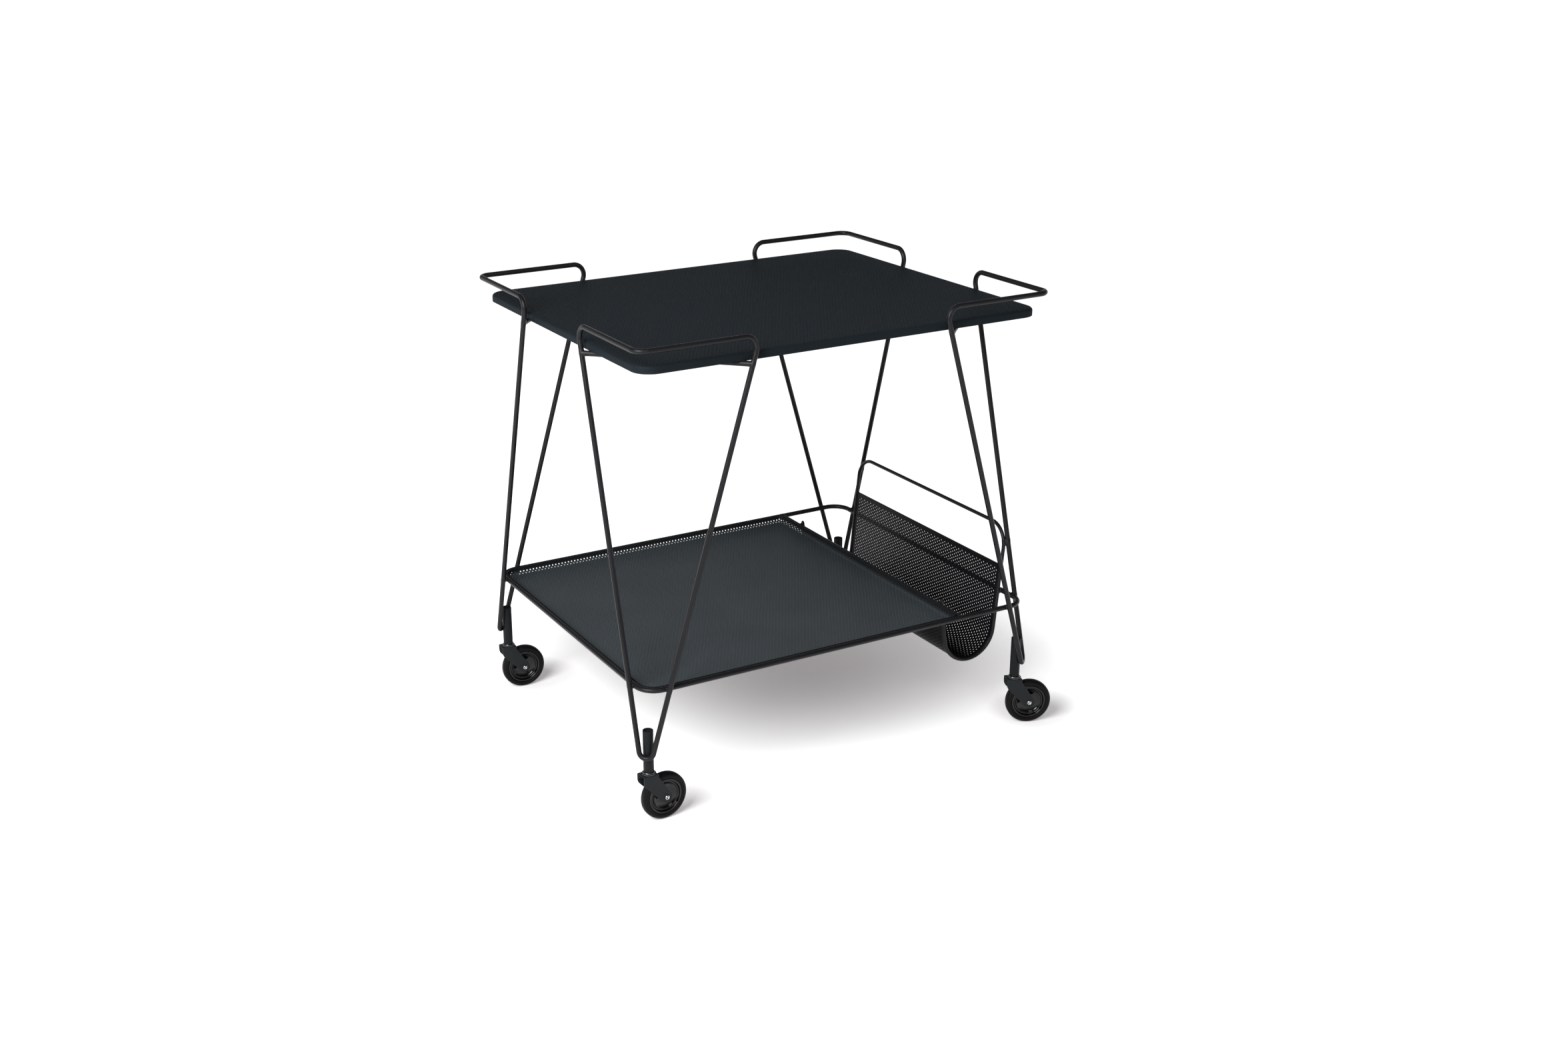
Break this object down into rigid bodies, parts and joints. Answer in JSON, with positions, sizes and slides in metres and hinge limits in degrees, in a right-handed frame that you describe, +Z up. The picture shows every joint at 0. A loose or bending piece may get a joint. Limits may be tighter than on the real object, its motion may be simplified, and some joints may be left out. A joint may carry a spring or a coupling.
{
  "type": "serving trolley",
  "caption": "Two-tier serving trolley of bent round rod with perforated sheet trays, a hung magazine rack and swivel casters under its looped corner handles.",
  "frame": {"origin": "on the floor, under the middle of the whole trolley with its wheels trailing towards +X", "axes": "+X along the trolley towards the magazine rack, +Y across it, away from the front, +Z up"},
  "size_m": [0.7567, 0.5844, 0.7301],
  "materials": {
    "rod": "satin black lacquer",
    "top_sheet": "satin dark lacquer",
    "low_sheet": "satin dark lacquer",
    "rack_sheet": "satin dark lacquer",
    "plug": "matte black",
    "zinc": "bright zinc plate",
    "fork": "dull black",
    "core": "gloss black",
    "tyre": "matte black rubber"
  },
  "bodies": {
    "frame": {"corner_loop_front_left": "rod", "corner_loop_front_right": "rod", "corner_loop_rear_left": "rod", "corner_loop_rear_right": "rod", "tray_brace_front_left": "rod", "tray_brace_front_right": "rod", "tray_brace_rear_left": "rod", "tray_brace_rear_right": "rod", "caster_tube_front_left": "rod", "caster_tube_front_right": "rod", "caster_tube_rear_left": "rod", "caster_tube_rear_right": "rod", "top_tray": "top_sheet", "lower_hoop": "rod", "cross_rod": "rod", "lower_tray": "low_sheet", "rack_rod": "rod", "rack_sheet": "rack_sheet", "stem_sleeve_front_left": "plug", "stem_sleeve_front_right": "plug", "stem_sleeve_rear_left": "plug", "stem_sleeve_rear_right": "plug", "swivel_stem_front_left": "zinc", "swivel_stem_front_right": "zinc", "swivel_stem_rear_left": "zinc", "swivel_stem_rear_right": "zinc", "swivel_cup_front_left": "zinc", "swivel_cup_front_right": "zinc", "swivel_cup_rear_left": "zinc", "swivel_cup_rear_right": "zinc"},
    "caster_front_left": {"fork_front_left": "fork", "axle_bolt_front_left": "zinc"},
    "wheel_front_left": {"hub_bush_front_left": "zinc", "wheel_core_front_left": "core", "tyre_front_left": "tyre"},
    "caster_front_right": {"fork_front_right": "fork", "axle_bolt_front_right": "zinc"},
    "wheel_front_right": {"hub_bush_front_right": "zinc", "wheel_core_front_right": "core", "tyre_front_right": "tyre"},
    "caster_rear_left": {"fork_rear_left": "fork", "axle_bolt_rear_left": "zinc"},
    "wheel_rear_left": {"hub_bush_rear_left": "zinc", "wheel_core_rear_left": "core", "tyre_rear_left": "tyre"},
    "caster_rear_right": {"fork_rear_right": "fork", "axle_bolt_rear_right": "zinc"},
    "wheel_rear_right": {"hub_bush_rear_right": "zinc", "wheel_core_rear_right": "core", "tyre_rear_right": "tyre"}
  },
  "joints": [
    {"name": "swivel_front_left", "type": "hinge", "parent": "frame", "child": "caster_front_left", "pos_m": [-0.35994, -0.26725, 0.0845], "axis": [0, 0, 1], "continuous": true},
    {"name": "roll_front_left", "type": "hinge", "parent": "caster_front_left", "child": "wheel_front_left", "pos_m": [-0.335, -0.26551, 0.0375], "axis": [-0.0698, 0.9976, 0], "continuous": true},
    {"name": "swivel_front_right", "type": "hinge", "parent": "frame", "child": "caster_front_right", "pos_m": [0.31594, -0.26725, 0.0845], "axis": [0, 0, 1], "continuous": true},
    {"name": "roll_front_right", "type": "hinge", "parent": "caster_front_right", "child": "wheel_front_right", "pos_m": [0.33912, -0.27662, 0.0375], "axis": [0.3746, 0.9272, 0], "continuous": true},
    {"name": "swivel_rear_left", "type": "hinge", "parent": "frame", "child": "caster_rear_left", "pos_m": [-0.35994, 0.26725, 0.0845], "axis": [0, 0, 1], "continuous": true},
    {"name": "roll_rear_left", "type": "hinge", "parent": "caster_rear_left", "child": "wheel_rear_left", "pos_m": [-0.335, 0.26551, 0.0375], "axis": [0.0698, 0.9976, 0], "continuous": true},
    {"name": "swivel_rear_right", "type": "hinge", "parent": "frame", "child": "caster_rear_right", "pos_m": [0.31594, 0.26725, 0.0845], "axis": [0, 0, 1], "continuous": true},
    {"name": "roll_rear_right", "type": "hinge", "parent": "caster_rear_right", "child": "wheel_rear_right", "pos_m": [0.34056, 0.26291, 0.0375], "axis": [0.1736, 0.9848, 0], "continuous": true}
  ]
}
